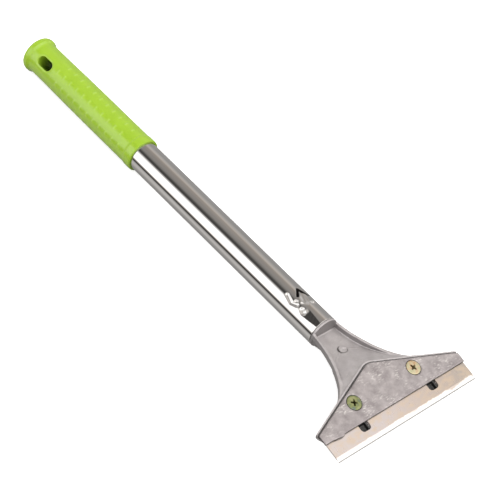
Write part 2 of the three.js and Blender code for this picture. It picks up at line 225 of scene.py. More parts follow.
def tent():
    """The world: the light tent where it lights or is mirrored, and plain white to look at."""
    world = bpy.data.worlds.new("light_tent")
    bpy.context.scene.world = world
    world.use_nodes = True
    tree = world.node_tree
    tree.nodes.clear()
    direction = tree.nodes.new("ShaderNodeTexCoord")
    parts = tree.nodes.new("ShaderNodeSeparateXYZ")
    wire(tree, direction.outputs["Generated"], parts.inputs[0])
    forward = parts.outputs["X"]
    up = parts.outputs["Z"]
    turn = calculate(world, "ARCTAN2", parts.outputs["Y"], up)
    place = spread(world, turn, 0, 1, -math.pi, math.pi)

    bands = ramp(world, place, tent_stops(TENT_BANDS))
    strips = ramp(world, place, tent_stops(SIDE_STRIPS))
    panel = ramp(world, forward, BLADE_END_PANEL)
    overhead = spread(world, up, 0, 1, *PANEL_OVERHEAD, "SMOOTHSTEP")
    blade_end = mix_colour(world, overhead, BLADE_END_DARK, panel)
    blade_end = mix_colour(world, 1.0, blade_end, strips, "ADD")
    behind = spread(world, forward, 0, 1, *GRIP_END_FADE, "SMOOTHSTEP")
    grip_end = mix_colour(world, behind, bands, GRIP_END_GREY)
    ahead = spread(world, forward, 0, 1, *BLADE_END_FADE, "SMOOTHSTEP")

    seen = tree.nodes.new("ShaderNodeLightPath")
    lit = tree.nodes.new("ShaderNodeBackground")
    lit.inputs["Strength"].default_value = TENT_BRIGHTEST
    wire(tree, mix_colour(world, ahead, grip_end, blade_end), lit.inputs["Color"])
    plain = tree.nodes.new("ShaderNodeBackground")
    plain.inputs["Color"].default_value = (1, 1, 1, 1)
    plain.inputs["Strength"].default_value = BACKDROP_BRIGHT
    choose = tree.nodes.new("ShaderNodeMixShader")
    wire(tree, seen.outputs["Is Camera Ray"], choose.inputs[0])
    wire(tree, lit.outputs[0], choose.inputs[1])
    wire(tree, plain.outputs[0], choose.inputs[2])
    output = tree.nodes.new("ShaderNodeOutputWorld")
    wire(tree, choose.outputs[0], output.inputs["Surface"])


tent()


def lamp(name, strength, width, tilt, bearing):
    """A wide soft lamp, tilted from straight down towards a bearing, that no polished piece mirrors."""
    light = bpy.data.lights.new(name, "SUN")
    light.energy = strength
    light.angle = math.radians(width)
    light.color = (1.0, 0.985, 0.965)
    holder = bpy.data.objects.new(name, light)
    holder.rotation_euler = (math.radians(tilt), 0, math.radians(bearing))
    holder.visible_glossy = False
    bpy.context.scene.collection.objects.link(holder)


lamp("key_lamp", 1.05, 60, 38, 150)
lamp("fill_lamp", 0.85, 100, 58, 30)

camera_data = bpy.data.cameras.new("camera")
camera_data.sensor_width = 36
camera_data.lens = CAMERA_LENS
camera_data.clip_start = 0.05
camera_data.clip_end = 20
camera = bpy.data.objects.new("camera", camera_data)
camera.location = TUBE_END + Vector(CAMERA_FROM_TUBE_END) * MM
camera.rotation_euler = [math.radians(angle) for angle in CAMERA_TURN]
bpy.context.scene.collection.objects.link(camera)
bpy.context.scene.camera = camera
bpy.context.scene.view_settings.view_transform = "Standard"

# ---- Grip ----
# Lime soft plastic, moulded in one piece over the end of the tube: a thin sleeve with a ring at its
# mouth and rows of short raised dashes, and a solid end with a flange and a slot to hang it by.
GRIP_BORE = 9.2
GRIP_MOUTH = 9.03
GRIP_BODY = 10.1
GRIP_RING = 10.4
GRIP_RING_WIDTH = 5.9
GRIP_WAIST = 9.85
GRIP_BORE_DEPTH = 71.7
GRIP_CROWN = 1.6
FLANGE_THICKNESS = 4.4
SLOT_FROM_END = 15.5
SLOT_LENGTH = 11.6
SLOT_WIDTH = 6.2
SLOT_TURN = -47
SLOT_DRAFT = 0.6
SLOT_FLARE = 1.03
SLOT_REACH = 14
SLOT_EDGE_ROUND = 1.1
SLOT_EDGE_DROP = 0.35
DASH_PITCH = 5.8
DASH_ROWS = 10
DASH_LENGTH = 2.6
DASH_WIDTH = 1.0
DASH_RISE = 0.25
DASH_BEND = 0.10
DASHES_FROM = 9
DASHES_TO = 75.7
LIME_DARK = (0.305, 0.498, 0.022)
LIME_LIGHT = (0.332, 0.532, 0.028)
LIME_DASH_HIGHLIGHT = (0.385, 0.595, 0.07)
LIME_SLOT_SHADE = (0.030, 0.075, 0.002)

grip_low, grip_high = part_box("grip_sleeve")
FLANGE_RADIUS = (grip_high.z - grip_low.z) / 2 / MM
GRIP_LENGTH = (grip_high.x - grip_low.x) / MM - GRIP_CROWN


def softened(points, rounds):
    """A line of points with its corners cut back, once for each round."""
    line = np.array(points, float)
    for _ in range(rounds):
        near = line[:-1] * 0.75 + line[1:] * 0.25
        far = line[:-1] * 0.25 + line[1:] * 0.75
        line = np.vstack([line[:1], np.stack([near, far], 1).reshape(-1, 2), line[-1:]])
    return line


def spaced(line, step):
    """The same line with its points at an even spacing."""
    run = np.concatenate([[0], np.cumsum(np.hypot(*np.diff(line, axis=0).T))])
    at = np.linspace(0, run[-1], int(run[-1] / step) + 1)
    return np.stack([np.interp(at, run, line[:, 0]), np.interp(at, run, line[:, 1])], 1)


def fade(value):
    """0 below 0 and 1 above 1, with a smooth rise between."""
    t = np.clip(value, 0, 1)
    return t * t * (3 - 2 * t)


def new_piece(name, vertices, faces, place):
    """A smooth mesh object, built in millimetres and put in place by a matrix in metres."""
    mesh = bpy.data.meshes.new(name)
    mesh.from_pydata([tuple(v) for v in vertices], [], faces)
    mesh.transform(place @ Matrix.Scale(MM, 4))
    mesh.shade_smooth()
    mesh.update()
    piece = bpy.data.objects.new(name, mesh)
    bpy.context.scene.collection.objects.link(piece)
    return piece


def ring_skin(name, rings, place, looped=False):
    """A skin over rings of points: capped at both ends, or joined from the last ring to the first."""
    count, around = rings.shape[:2]
    faces = []
    for i in range(count if looped else count - 1):
        a = i * around
        b = ((i + 1) % count) * around
        for j in range(around):
            k = (j + 1) % around
            faces.append((a + j, a + k, b + k, b + j))
    if not looped:
        faces.append(tuple(range(around - 1, -1, -1)))
        faces.append(tuple(range((count - 1) * around, count * around)))
    piece = new_piece(name, rings.reshape(-1, 3), faces, place)
    face_outwards(piece)
    return piece


def face_outwards(piece):
    """Turns every face of a closed mesh outwards."""
    bm = bmesh.new()
    bm.from_mesh(piece.data)
    bmesh.ops.recalc_face_normals(bm, faces=bm.faces)
    bm.to_mesh(piece.data)
    bm.free()


def settle(piece):
    """Makes a piece's modifiers part of its mesh."""
    done = piece.evaluated_get(bpy.context.evaluated_depsgraph_get())
    mesh = bpy.data.meshes.new_from_object(done)
    piece.modifiers.clear()
    piece.data = mesh


def cut_away(piece, cutter):
    """Takes the cutter's volume out of the piece, and the cutter off the bench."""
    cut = piece.modifiers.new("cut", "BOOLEAN")
    cut.operation = "DIFFERENCE"
    cut.solver = "EXACT"
    cut.object = cutter
    bpy.context.view_layer.update()
    settle(piece)
    bpy.data.objects.remove(cutter)


def keep_number(piece, name, values):
    """Keeps one number for each point of a piece's skin."""
    numbers = piece.data.attributes.new(name, "FLOAT", "POINT")
    numbers.data.foreach_set("value", values.ravel())


def grip_profile():
    """Half section of the grip as [distance from the mouth, radius], from inside the bore to the crown."""
    flange = GRIP_LENGTH - FLANGE_THICKNESS
    inside = [[GRIP_BORE_DEPTH, 0.5], [GRIP_BORE_DEPTH, GRIP_BORE], [1.0, GRIP_BORE], [0.4, GRIP_MOUTH]]
    outside = [
        [0.0, GRIP_MOUTH],
        [0.0, GRIP_RING - 0.35],
        [0.35, GRIP_RING],
        [GRIP_RING_WIDTH - 1.0, GRIP_RING],
        [GRIP_RING_WIDTH - 0.4, GRIP_RING - 0.05],
        [GRIP_RING_WIDTH, GRIP_BODY],
        [GRIP_RING_WIDTH + 0.6, GRIP_BODY],
        [GRIP_BORE_DEPTH - 15, GRIP_BODY],
        [GRIP_LENGTH - SLOT_FROM_END - 8, GRIP_WAIST + 0.05],
        [GRIP_LENGTH - SLOT_FROM_END, GRIP_WAIST],
        [flange - 3.4, GRIP_WAIST],
        [flange - 1.2, GRIP_WAIST + 0.12],
        [flange - 0.2, GRIP_WAIST + 0.5],
        [flange + 0.05, FLANGE_RADIUS - 0.5],
        [flange + 0.5, FLANGE_RADIUS - 0.08],
        [flange + 1.3, FLANGE_RADIUS],
        [GRIP_LENGTH - 1.5, FLANGE_RADIUS],
        [GRIP_LENGTH - 0.2, FLANGE_RADIUS - 0.6],
        [GRIP_LENGTH + GRIP_CROWN * 0.6, FLANGE_RADIUS * 0.62],
        [GRIP_LENGTH + GRIP_CROWN, FLANGE_RADIUS * 0.25],
        [GRIP_LENGTH + GRIP_CROWN, 0.5],
    ]
    return np.vstack([spaced(np.array(inside), 3.0), spaced(softened(outside, 2), 0.42)])


def dashes(along, round_angle):
    """Height of the raised dashes at points of the grip's skin."""
    sector = 2 * math.pi / DASH_ROWS
    row = np.round(round_angle / sector)
    across = (round_angle / sector - row) * sector * GRIP_BODY
    shifted = along - DASH_PITCH * 0.5 * (row % 2) + DASH_BEND * across**2
    step = (shifted / DASH_PITCH - np.round(shifted / DASH_PITCH)) * DASH_PITCH
    bar = np.exp(-((step / (DASH_WIDTH / 2)) ** 2)) * fade((DASH_LENGTH / 2 - np.abs(across)) / 0.5 + 0.5)
    middle = fade((along - DASHES_FROM) / 2) * fade((DASHES_TO - along) / 2)
    return DASH_RISE * bar * middle


def slot_distance(along, across):
    """Distance outside the hanging slot's outline; negative inside it."""
    centre = GRIP_LENGTH - SLOT_FROM_END
    straight = SLOT_LENGTH / 2 - SLOT_WIDTH / 2
    past = np.maximum(np.abs(along - centre) - straight, 0)
    return np.hypot(past, across) - SLOT_WIDTH / 2


def grip():
    """The whole grip, with how far each place is up a dash kept as a number on its skin."""
    around = 168
    profile = grip_profile()
    angle = np.linspace(0, 2 * math.pi, around, endpoint=False)
    along, turn = np.meshgrid(profile[:, 0], angle, indexing="ij")
    radius = np.repeat(profile[:, 1:], around, 1)
    skin = radius > GRIP_BORE + 0.3
    rise = np.where(skin, dashes(along, turn), 0)
    radius = radius + rise
    across = radius * np.sin(turn - math.radians(SLOT_TURN))
    near_slot = fade(1 - slot_distance(along, across) / SLOT_EDGE_ROUND)
    beside_slot = skin & (np.abs(across) < GRIP_WAIST * 0.8)
    radius = radius - np.where(beside_slot, SLOT_EDGE_DROP * near_slot**2, 0)
    rings = np.stack([-along, radius * np.sin(turn), radius * np.cos(turn)], 2)
    mouth = Matrix.Translation((grip_high.x, 0, TUBE_END.z))
    piece = ring_skin("soft_grip", rings, mouth)
    keep_number(piece, "raised", rise / DASH_RISE)

    outline = []
    for end in (-1, 1):
        for step in np.linspace(-math.pi / 2, math.pi / 2, 17):
            reach = SLOT_LENGTH / 2 - SLOT_WIDTH / 2 + SLOT_WIDTH / 2 * math.cos(step)
            outline.append((end * reach, end * SLOT_WIDTH / 2 * math.sin(step)))
    plug = []
    for height, size in ((-SLOT_REACH, SLOT_DRAFT), (SLOT_REACH, SLOT_FLARE)):
        plug.append([(x * size, y * size, height) for x, y in outline])
    slot_place = mouth @ Matrix.Translation((-(GRIP_LENGTH - SLOT_FROM_END) * MM, 0, 0))
    slot_place = slot_place @ Matrix.Rotation(math.radians(-SLOT_TURN), 4, "X")
    cut_away(piece, ring_skin("slot_plug", np.array(plug), slot_place))
    piece.data.shade_smooth()
    piece.data.set_sharp_from_angle(angle=math.radians(50))
    return piece


def finish(name, colour, metal, roughness):
    """A new material and its shader. The colour is linear red, green and blue."""
    material = bpy.data.materials.new(name)
    material.use_nodes = True
    shader = material.node_tree.nodes["Principled BSDF"]
    shader.inputs["Base Color"].default_value = (*colour, 1)
    shader.inputs["Metallic"].default_value = metal
    shader.inputs["Roughness"].default_value = roughness
    return material, shader


def place_on(material, stretch=(1, 1, 1)):
    """Places on the piece in millimetres, stretched along each axis."""
    tree = material.node_tree
    where = tree.nodes.new("ShaderNodeTexCoord")
    scale = tree.nodes.new("ShaderNodeVectorMath")
    scale.operation = "MULTIPLY"
    scale.inputs[1].default_value = [value / MM for value in stretch]
    wire(tree, where.outputs["Object"], scale.inputs[0])
    return scale.outputs[0]


def cloud(material, place, size, detail=3, rough=0.5):
    """Soft noise from 0 to 1 with patches of about that size in millimetres."""
    tree = material.node_tree
    noise = tree.nodes.new("ShaderNodeTexNoise")
    noise.inputs["Scale"].default_value = 1 / size
    noise.inputs["Detail"].default_value = detail
    noise.inputs["Roughness"].default_value = rough
    wire(tree, place, noise.inputs["Vector"])
    return noise.outputs["Fac"]


def crevices(material, reach, closed, open_at):
    """Mask for painted shade: 0 down in crevices no wider than the reach in millimetres, rising to 1 on
    open faces.
    """
    tree = material.node_tree
    shelter = tree.nodes.new("ShaderNodeAmbientOcclusion")
    shelter.inputs["Distance"].default_value = reach * MM
    shelter.samples = 8
    return spread(material, shelter.outputs["AO"], 0, 1, closed, open_at)


def number_on(material, name):
    """A number that was kept on the piece's skin when it was made."""
    node = material.node_tree.nodes.new("ShaderNodeAttribute")
    node.attribute_name = name
    return node.outputs["Fac"]


def texture_height(material, shader, value, depth, strength=1.0, under=None):
    """Bump of that depth in millimetres from a value between 0 and 1."""
    tree = material.node_tree
    bump = tree.nodes.new("ShaderNodeBump")
    bump.inputs["Strength"].default_value = strength
    bump.inputs["Distance"].default_value = depth * MM
    wire(tree, value, bump.inputs["Height"])
    if under is not None:
        wire(tree, under, bump.inputs["Normal"])
    wire(tree, bump.outputs[0], shader.inputs["Normal"])
    return bump.outputs[0]


lime, lime_shader = finish("lime_soft_plastic", LIME_DARK, 0, 0.28)
lime_place = place_on(lime)
lime_tone = ramp(lime, cloud(lime, lime_place, 9, 4), [(0.3, LIME_DARK), (0.7, LIME_LIGHT)])
# Painted highlight: the tops of the raised dashes are painted lighter.
lime_tone = mix_colour(lime, number_on(lime, "raised"), lime_tone, LIME_DASH_HIGHLIGHT)
# Painted shade: the hanging slot and other hollows are darkened towards near-black green.
lime_tone = mix_colour(lime, crevices(lime, 9.0, 0.05, 0.75), LIME_SLOT_SHADE, lime_tone)
wire(lime.node_tree, lime_tone, lime_shader.inputs["Base Color"])
lime_gloss = spread(lime, cloud(lime, lime_place, 2.5, 4), 0.18, 0.26)
wire(lime.node_tree, lime_gloss, lime_shader.inputs["Roughness"])
texture_height(lime, lime_shader, cloud(lime, lime_place, 0.5, 3), 0.02, 0.5)
lime_shader.inputs["Specular IOR Level"].default_value = 0.8
lime_shader.inputs["Subsurface Weight"].default_value = 0.08
lime_shader.inputs["Subsurface Radius"].default_value = (0.5, 0.8, 0.2)
lime_shader.inputs["Subsurface Scale"].default_value = 1.0 * MM

soft_grip = grip()
soft_grip.data.materials.clear()
soft_grip.data.materials.append(lime)
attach(soft_grip, "handle")
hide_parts("grip_sleeve")

# ---- Handle tube ----
# Bright steel tube with a thin wall, polished along its length. A punch mark near its end presses and
# tears the wall into the head's spigot, and a flat beside the collar keeps the two from turning.
TUBE_RADIUS = (tube_high.z - tube_low.z) / 2 / MM
TUBE_WALL = 1.0
TUBE_LENGTH = (tube_high.x - tube_low.x) / MM
TUBE_SEAT = 0.22
TUBE_END_CHAMFER = 0.15
DENTED_LENGTH = 32
LANCE = [(-20.3, -1.6), (-24.0, 1.7), (-18.6, 4.6)]
LANCE_HALF_WIDTH = 1.35
LANCE_SHARPNESS = 2.2
PUNCH_STROKES = [  # places as (along, round) in mm, half width, depth
    (LANCE, 1.1, 1.0),
    ([(-21.5, 1.6), (-15.2, -0.8)], 2.4, 0.8),
    ([(-24.5, -5.2), (-19.8, -6.8), (-16.4, -5.6)], 1.5, 0.5),
    ([(-18.4, -4.4), (-18.0, -4.2)], 1.2, 0.7),
    ([(-12.6, -5.4), (-10.9, -6.2)], 1.8, 0.8),
    ([(-13.0, 2.0), (-12.6, 3.2)], 1.3, 0.8),
    ([(-15.4, -2.8), (-13.4, -1.0)], 0.9, 0.6),
]
FLAT_TURN = -33
FLAT_DEPTH = 0.42
FLAT_DEPTH_AT_END = 0.10
FLAT_LENGTH = 11.5
FLAT_RUN_OUT = 2.5
FLAT_RIPPLE = 0.014
STEEL_DARK = (0.63, 0.61, 0.595)
STEEL_LIGHT = (0.69, 0.675, 0.66)
STEEL_CREVICE_SHADE = (0.02, 0.018, 0.016)
# Painted shade for the punch mark's tear line, and the dull finish that keeps it dark.
STEEL_TEAR_SHADE = (0.012, 0.011, 0.010)
TEAR_SHADE_ROUGHNESS = (0.6, 0.6, 0.6)


def stroke_depth(along, round_place, places, half_width, deep):
    """Depth of one pressed line through a list of places."""
    nearest = np.full_like(along, np.inf)
    for start, stop in zip(places[:-1], places[1:]):
        run = np.array(stop) - np.array(start)
        part = ((along - start[0]) * run[0] + (round_place - start[1]) * run[1]) / (run @ run)
        part = np.clip(part, 0, 1)
        away = np.hypot(along - start[0] - part * run[0], round_place - start[1] - part * run[1])
        nearest = np.minimum(nearest, away)
    return deep * fade(1 - nearest / half_width)


def punch_depth(along, turn):
    """How deep the punch mark is, in millimetres, at places on the tube's skin."""
    depth = np.zeros_like(along)
    for places, half_width, deep in PUNCH_STROKES:
        depth = np.maximum(depth, stroke_depth(along, turn * TUBE_RADIUS, places, half_width, deep))
    facing = np.maximum(np.cos(turn - math.radians(FLAT_TURN)), 0.5)
    from_end = np.clip(-along / FLAT_LENGTH, 0, 1)
    deepest = FLAT_DEPTH_AT_END + (FLAT_DEPTH - FLAT_DEPTH_AT_END) * from_end
    flat = np.maximum(TUBE_RADIUS - (TUBE_RADIUS - deepest) / facing, 0)
    ripple = FLAT_RIPPLE * np.sin(2.9 * along + 11 * turn) * fade(flat / 0.05)
    return depth + (flat + ripple) * fade((along + FLAT_LENGTH) / FLAT_RUN_OUT)


def tube():
    """The tube's skin and lining as one closed loop, finely divided where it is dented."""
    around = 288
    plain = np.linspace(-TUBE_LENGTH, -DENTED_LENGTH, 12)
    fine = np.linspace(-DENTED_LENGTH, TUBE_SEAT - 0.25, 150)
    stations = np.concatenate([plain[:-1], fine, [TUBE_SEAT - 0.12, TUBE_SEAT]])
    angle = np.linspace(0, 2 * math.pi, around, endpoint=False)
    along, turn = np.meshgrid(stations, angle, indexing="ij")
    centred = (turn + math.pi) % (2 * math.pi) - math.pi
    outer = TUBE_RADIUS - punch_depth(along, centred)
    outer[-1] -= TUBE_END_CHAMFER
    outer[-2] -= 0.04
    inner = outer - TUBE_WALL
    inner[-1] += TUBE_END_CHAMFER
    skin = np.stack([along, outer * np.sin(turn), outer * np.cos(turn)], 2)
    lining = np.stack([along, inner * np.sin(turn), inner * np.cos(turn)], 2)
    rings = np.concatenate([skin, lining[::-1]])
    return ring_skin("bright_tube", rings, Matrix.Translation(TUBE_END), looped=True)


def points_of(piece):
    """A piece's points, one to a row."""
    points = np.empty(len(piece.data.vertices) * 3)
    piece.data.vertices.foreach_get("co", points)
    return points.reshape(-1, 3)


def from_tube_end(points):
    """Distances of points along, across and above the centre of the tube's end, in millimetres."""
    return ((points - np.array(TUBE_END)) / MM).T


def mark_lance(piece):
    """Keeps how far each point is into the tear line of the punch mark, where painted shade goes."""
    along, across, height = from_tube_end(points_of(piece))
    round_place = np.arctan2(across, height) * TUBE_RADIUS
    tear_shade = stroke_depth(along, round_place, LANCE, LANCE_HALF_WIDTH, LANCE_SHARPNESS)
    keep_number(piece, "tear_shade", np.clip(tear_shade, 0, 1))


steel, steel_shader = finish("polished_steel", (0.66, 0.645, 0.63), 1, 0.07)
steel_place = place_on(steel, (0.03, 1, 1))
steel_tear_shade = number_on(steel, "tear_shade")
steel_tone = ramp(steel, cloud(steel, steel_place, 1.6, 4), [(0.3, STEEL_DARK), (0.7, STEEL_LIGHT)])
# Painted shade: the punch mark's grooves and the tube's other crevices are darkened.
steel_tone = mix_colour(steel, crevices(steel, 1.2, 0.15, 0.5), STEEL_CREVICE_SHADE, steel_tone)
# Painted shade: the tear line is painted near black and dull, standing in for the shadow inside the tear.
steel_tone = mix_colour(steel, steel_tear_shade, steel_tone, STEEL_TEAR_SHADE)
wire(steel.node_tree, steel_tone, steel_shader.inputs["Base Color"])
steel_gloss = spread(steel, cloud(steel, steel_place, 0.6, 4), 0.05, 0.11)
steel_gloss = mix_colour(steel, steel_tear_shade, steel_gloss, TEAR_SHADE_ROUGHNESS)
wire(steel.node_tree, steel_gloss, steel_shader.inputs["Roughness"])
texture_height(steel, steel_shader, cloud(steel, steel_place, 2.2, 2), 0.025, 0.6)

bright_tube = tube()
bright_tube.data.materials.append(steel)
mark_lance(bright_tube)
bright_tube.data.set_sharp_from_angle(angle=math.radians(60))
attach(bright_tube, "handle")
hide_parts("handle_tube")

# ---- Head casting ----
# One aluminium die casting, left as cast: the spigot in the tube, the collar, a fan-shaped web with a
# round pip between two curved rims, and the stepped seat that the blade and the plate lie in. The
# wells under the blade's slots are painted near black as painted shade.
CAST_GRAIN = 0.3
CAST_ROUNDING = 2
CAST_LIGHT = (0.610, 0.577, 0.583)
CAST_DARK = (0.51, 0.480, 0.482)
CAST_SCUFF = (0.86, 0.83, 0.80)
CAST_PIP_FOOT_SHADE = (0.10, 0.09, 0.085)
CAST_CREVICE_SHADE = (0.07, 0.065, 0.06)
# Painted shade: the wells under the blade's slots are painted near black.
WELL_SHADE_LIGHT = (0.10, 0.10, 0.10)
WELL_SHADE_DARK = (0.05, 0.05, 0.05)
# Painted shade: faces that point less far up than these limits are darkened as walls.
WALL_BELOW = 0.15
FACE_ABOVE = 0.72
LIP_AT = 31.3
LIP_HEIGHT = 6.7
LIP_SLOPE = 0.39
WEB_FLOOR = 0.2
WEB_RISE = 0.4
WEB_FALL = 0.216
WEB_START = 2.0
WEB_START_LENGTH = 3
WEB_TO_LIP = 0.8
FOLD_ROUND = 0.9
FOLD_UP_RIMS = 1.6
FOLD_RUN_OUT = 1.5
RIDGE_ROUND = 3.0
RIDGE_RUN_OUT = 4
UNDER_WEB = -0.3
PIP_AT = 15.65
PIP_RADIUS = 2.4
PIP_RISE = 0.85
PIP_TOP = 1.5
PIP_MARGIN = 0.4
PIP_FOOT_WIDTH = 0.32
WELL_FROM = 51.5
WELL_TO = 60.2
WELL_BOTTOM = 8.6
WELL_SPACING = 49.6
WELL_HALF_WIDTH = 3.4



def joint_called(name):
    """The frame's joint of that name."""
    return next(joint for joint in frame["joints"] if joint["name"] == name)


OUT_OF_PLATE = Vector(joint_called("plate_lift")["axis"]).normalized()
TO_EDGE = Vector((OUT_OF_PLATE.z, 0, -OUT_OF_PLATE.x))
SEAT_PLACE = Matrix((TO_EDGE, Vector((0, 1, 0)), OUT_OF_PLATE)).transposed().to_4x4()
SEAT_PLACE.translation = TUBE_END


def cast_copy(node, name, grain, rounding, square_to=None):
    """A copy of a CAD solid with every edge rounded as a casting's is. It is worked square to a frame."""
    square_to = square_to or Matrix.Identity(4)
    mesh = frame["nodes"][node].data.copy()
    mesh.transform(square_to.inverted())
    mesh.materials.clear()
    piece = bpy.data.objects.new(name, mesh)
    bpy.context.scene.collection.objects.link(piece)
    weld = piece.modifiers.new("weld", "WELD")
    weld.merge_threshold = 0.002 * MM
    skin = piece.modifiers.new("skin", "REMESH")
    skin.mode = "VOXEL"
    skin.voxel_size = grain * MM
    skin.use_smooth_shade = True
    smooth = piece.modifiers.new("smooth", "SMOOTH")
    smooth.factor = 0.5
    smooth.iterations = rounding
    bpy.context.view_layer.update()
    settle(piece)
    piece.data.transform(square_to)
    piece.data.shade_smooth()
    return piece


def upward(material):
    """1 on a face that looks up, 0 on a wall and -1 on a face that looks down."""
    tree = material.node_tree
    facing = tree.nodes.new("ShaderNodeNewGeometry")
    parts = tree.nodes.new("ShaderNodeSeparateXYZ")
    wire(tree, facing.outputs["Normal"], parts.inputs[0])
    return parts.outputs["Z"]


def cast_metal(name, light, dark, metal, roughness, wall_shade=0.5, scuffed=0.0):
    """Cast aluminium: mottled, scuffed and grained, with painted shade on its walls that leaves its upper
    faces brighter, a painted shadow round the pip's foot and painted shade in its crevices.
    """
    material, shader = finish(name, light, metal, roughness)
    place = place_on(material)
    tone = ramp(material, cloud(material, place, 5, 6, 0.62), [(0.34, dark), (0.66, light)])
    streaks = cloud(material, place_on(material, (1, 0.3, 1)), 0.7, 5, 0.6)
    streaks = spread(material, streaks, 0, scuffed, 0.52, 0.66)
    patches = spread(material, cloud(material, place, 9, 3), 0, 1, 0.46, 0.62)
    scuffs = calculate(material, "MULTIPLY", streaks, patches)
    tone = mix_colour(material, scuffs, tone, CAST_SCUFF)
    # Painted shade: walls and downward faces are darkened, so the upper faces look lit.
    up_faces_unshaded = spread(material, upward(material), 0, 1, WALL_BELOW, FACE_ABOVE)
    tone = mix_colour(material, up_faces_unshaded, tuple(channel * wall_shade for channel in dark), tone)
    # Painted shadow: a dark ring round the pip's foot.
    tone = mix_colour(material, number_on(material, "pip_foot_shade"), tone, CAST_PIP_FOOT_SHADE)
    # Painted shade: crevices and inside corners are darkened.
    tone = mix_colour(material, crevices(material, 1.8, 0.20, 0.80), CAST_CREVICE_SHADE, tone)
    wire(material.node_tree, tone, shader.inputs["Base Color"])
    gloss = spread(material, cloud(material, place, 2.2, 5, 0.6), roughness - 0.08, roughness + 0.1)
    wire(material.node_tree, gloss, shader.inputs["Roughness"])
    grain = texture_height(material, shader, cloud(material, place, 0.5, 4, 0.6), 0.03, 0.55)
    texture_height(material, shader, cloud(material, place, 4, 2), 0.08, 0.4, grain)
    return material


def ease_web(piece):
    """Rounds the web's fold and its low middle ridge, stands the pip square on the web, and keeps a ring
    round the pip's foot for painted shade.
    """
    points = points_of(piece)
    along, across, height = from_tube_end(points)
    from_lip = LIP_AT + LIP_SLOPE * np.abs(across) - along
    climb = LIP_HEIGHT - WEB_RISE * (LIP_AT - along) - WEB_FALL * np.abs(across)
    web = np.maximum(WEB_FLOOR, climb)
    above = height - web
    fold = FOLD_ROUND * np.log1p(np.exp(-np.abs(climb - WEB_FLOOR) / FOLD_ROUND))
    ridge = WEB_FALL * (np.hypot(across, RIDGE_ROUND) - np.abs(across)) * (climb > WEB_FLOOR)
    rise = fold - ridge * fade((from_lip - WEB_TO_LIP) / RIDGE_RUN_OUT)
    on_web = (above > UNDER_WEB) & (from_lip > WEB_TO_LIP)
    low_down = fade(1 - (above - FOLD_UP_RIMS) / FOLD_RUN_OUT)
    past_collar = fade((along - WEB_START) / WEB_START_LENGTH)
    lifted = height + rise * low_down * past_collar * on_web

    from_pip = np.hypot(along - PIP_AT, across)
    up_wall = above / np.maximum(PIP_TOP - web, 0.4)
    on_top = fade((PIP_RADIUS + 0.08 - from_pip) / 0.2)
    up_pip = np.clip(np.maximum(up_wall, on_top), 0, 1)
    on_pip = (from_pip < PIP_RADIUS + PIP_MARGIN) & (above > UNDER_WEB)
    lifted = np.where(on_pip, web + rise + PIP_RISE * up_pip, lifted)
    # A ring round the pip's foot, kept for a painted shadow.
    foot = np.exp(-(((from_pip - PIP_RADIUS - 0.1) / PIP_FOOT_WIDTH) ** 2))
    keep_number(piece, "pip_foot_shade", foot * fade((1.2 - up_pip) / 0.5) * (above > UNDER_WEB))

    points[:, 2] = TUBE_END.z + lifted * MM
    piece.data.vertices.foreach_set("co", points.ravel())
    piece.data.update()


def paint_well_shade(piece, dark):
    """Gives the pegs and wells under the blade's slots a near-black material as painted shade."""
    piece.data.materials.append(dark)
    back = SEAT_PLACE.inverted()
    for face in piece.data.polygons:
        spot = back @ face.center / MM
        inside = WELL_FROM < spot.x < WELL_TO and spot.z > WELL_BOTTOM
        face.material_index = int(inside and abs(abs(spot.y) - WELL_SPACING / 2) < WELL_HALF_WIDTH)


cast_head = cast_copy("scraper_head", "cast_head", CAST_GRAIN, CAST_ROUNDING)
ease_web(cast_head)
cast_head.data.materials.append(
    cast_metal("cast_aluminium", CAST_LIGHT, CAST_DARK, 0.65, 0.52, wall_shade=0.60, scuffed=0.25)
)
paint_well_shade(cast_head, cast_metal("well_shade_casting", WELL_SHADE_LIGHT, WELL_SHADE_DARK, 0.5, 0.4))
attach(cast_head, "handle")
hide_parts("scraper_head")

# ---- Clamp plate ----
# Flat aluminium casting that covers the blade's back half, with its edges rubbed round, a worn face
# and a small burr on the front edge where its gate was broken off.
PLATE_GRAIN = 0.3
PLATE_ROUNDING = 3
BURR_FROM = -45.5
BURR_TO = -37.6
BURR_REACH = 0.85
BURR_DEPTH = 1.6
BURR_RISE_LENGTH = 6.0
BURR_BREAK_LENGTH = 0.7
PLATE_LIGHT = (0.520, 0.478, 0.480)
PLATE_DARK = (0.335, 0.302, 0.306)


def add_burr(piece):
    """Pushes a short length of the plate's front edge forwards."""
    back = SEAT_PLACE.inverted()
    points = [back @ vertex.co for vertex in piece.data.vertices]
    front = max(point.x for point in points)
    for vertex, point in zip(piece.data.vertices, points):
        near_edge = max(0.0, 1 - (front - point.x) / (BURR_DEPTH * MM))
        across = point.y / MM
        climb = min(max((across - BURR_FROM) / BURR_RISE_LENGTH, 0), 1)
        drop = min(max((BURR_TO - across) / BURR_BREAK_LENGTH, 0), 1)
        if near_edge > 0 and climb * drop > 0:
            vertex.co += TO_EDGE * (BURR_REACH * MM * climb * drop * near_edge)


cast_plate = cast_copy("clamp_plate", "cast_plate", PLATE_GRAIN, PLATE_ROUNDING, SEAT_PLACE)
add_burr(cast_plate)
# The plate's material has painted shade on its walls and in its crevices, like the head's.
cast_plate.data.materials.append(
    cast_metal("plate_aluminium", PLATE_LIGHT, PLATE_DARK, 0.75, 0.48, wall_shade=0.5, scuffed=0.8)
)
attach(cast_plate, "clamp_plate")
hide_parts("clamp_plate")

